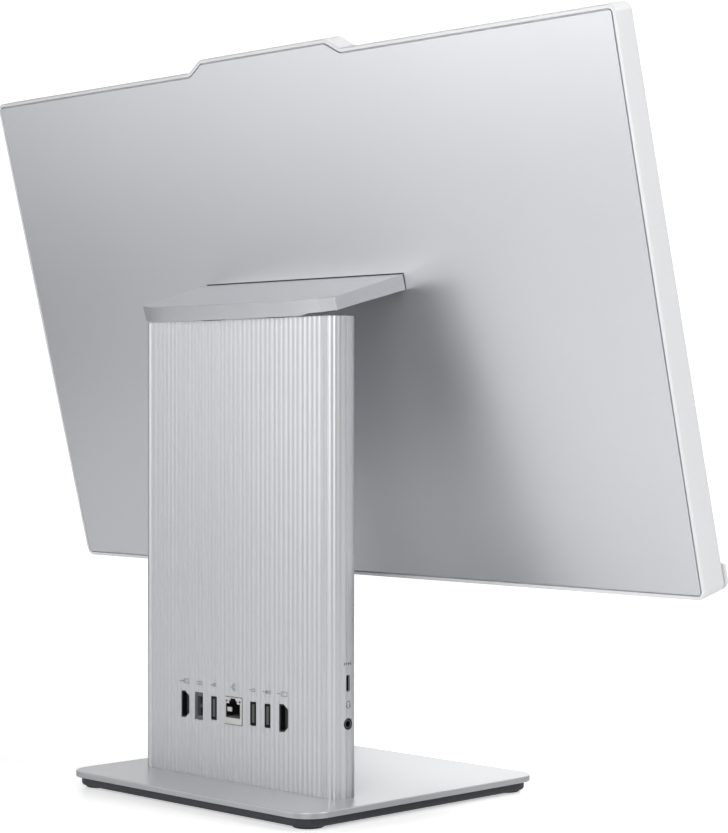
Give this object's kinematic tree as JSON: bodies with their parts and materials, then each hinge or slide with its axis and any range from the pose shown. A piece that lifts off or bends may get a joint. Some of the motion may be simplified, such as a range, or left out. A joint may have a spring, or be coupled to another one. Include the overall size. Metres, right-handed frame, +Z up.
{
  "type": "all in one pc",
  "caption": "All-in-one desktop computer: slim tilting display with a camera bump on a flat ribbed column that holds the computer and its ports, on a square base plate.",
  "frame": {"origin": "on the desk under the centre of the base", "axes": "+Z up, -Y the way the screen faces, +Y the ribbed back, +X to the right of the user"},
  "size_m": [0.541, 0.1944, 0.4514],
  "materials": {
    "silver_paint": "satin metallic silver paint",
    "silver_rim": "light silver satin",
    "base_metal": "fine satin silver coating",
    "charcoal_plastic": "matt",
    "rubber": "matt",
    "steel": "zinc plated",
    "black_plastic": "matt",
    "port_metal": "bare shell",
    "board": "solder mask",
    "copper": "bare copper",
    "aluminium": "bare",
    "screen": "dark, lightly glossy"
  },
  "bodies": {
    "stand": {"base_plate": "base_metal", "base_tray": "charcoal_plastic", "foot_front_left": "rubber", "foot_front_right": "rubber", "foot_rear_left": "rubber", "foot_rear_right": "rubber", "base_screw_1": "steel", "base_screw_2": "steel", "column_rear_shell": "silver_paint", "column_front_cover": "silver_paint", "column_top_cover": "silver_paint", "spine_plate": "steel", "hinge_bracket": "steel", "hinge_screw_1": "steel", "hinge_screw_2": "steel", "hinge_screw_3": "steel", "hinge_screw_4": "steel", "hinge_pin": "steel", "mainboard": "board", "hdmi_in_port": "black_plastic", "dc_in_port": "black_plastic", "usb_a_port_1": "black_plastic", "ethernet_port": "port_metal", "usb_a_port_2": "black_plastic", "usb_a_port_3": "black_plastic", "hdmi_out_port": "black_plastic", "usb_c_port": "black_plastic", "audio_jack": "black_plastic", "cpu_cold_plate": "copper", "heat_pipe": "copper", "fin_stack": "aluminium", "fan_housing": "black_plastic", "memory_module_1": "board", "memory_module_2": "board", "ssd_module": "board", "wifi_card": "board", "coin_cell": "aluminium", "display_cable_lower": "black_plastic"},
    "fan": {"fan_rotor": "black_plastic"},
    "display": {"mid_frame": "silver_rim", "back_cover": "silver_paint", "chin_bar": "silver_rim", "front_bezel": "black_plastic", "lcd_panel": "screen", "display_chassis": "steel", "driver_board": "board", "speaker_left": "black_plastic", "speaker_right": "black_plastic", "power_switch_board": "board", "camera_cover": "black_plastic", "camera_module": "black_plastic", "hinge_arm": "steel", "hinge_arm_screw_1": "steel", "hinge_arm_screw_2": "steel", "hinge_cap": "silver_paint", "hinge_cap_lower": "silver_paint", "display_cable_upper": "black_plastic"},
    "power_key": {"power_button": "silver_rim"},
    "shutter": {"camera_shutter": "black_plastic"}
  },
  "joints": [
    {"name": "display_tilt", "type": "hinge", "parent": "stand", "child": "display", "pos_m": [0, 0.0445, 0.2795], "axis": [-1, 0, 0], "range_deg": [-19.1, 0.9]},
    {"name": "fan_spin", "type": "hinge", "parent": "stand", "child": "fan", "pos_m": [-0.04, 0.0469, 0.216], "axis": [0, 1, 0], "continuous": true},
    {"name": "power_press", "type": "slide", "parent": "display", "child": "power_key", "axis": [0, 0.2436, 0.9699], "range_m": [0, 0.0008], "stiffness_N_per_m": 800},
    {"name": "shutter_slide", "type": "slide", "parent": "display", "child": "shutter", "axis": [-1, 0, 0], "range_m": [0, 0.009]}
  ]
}
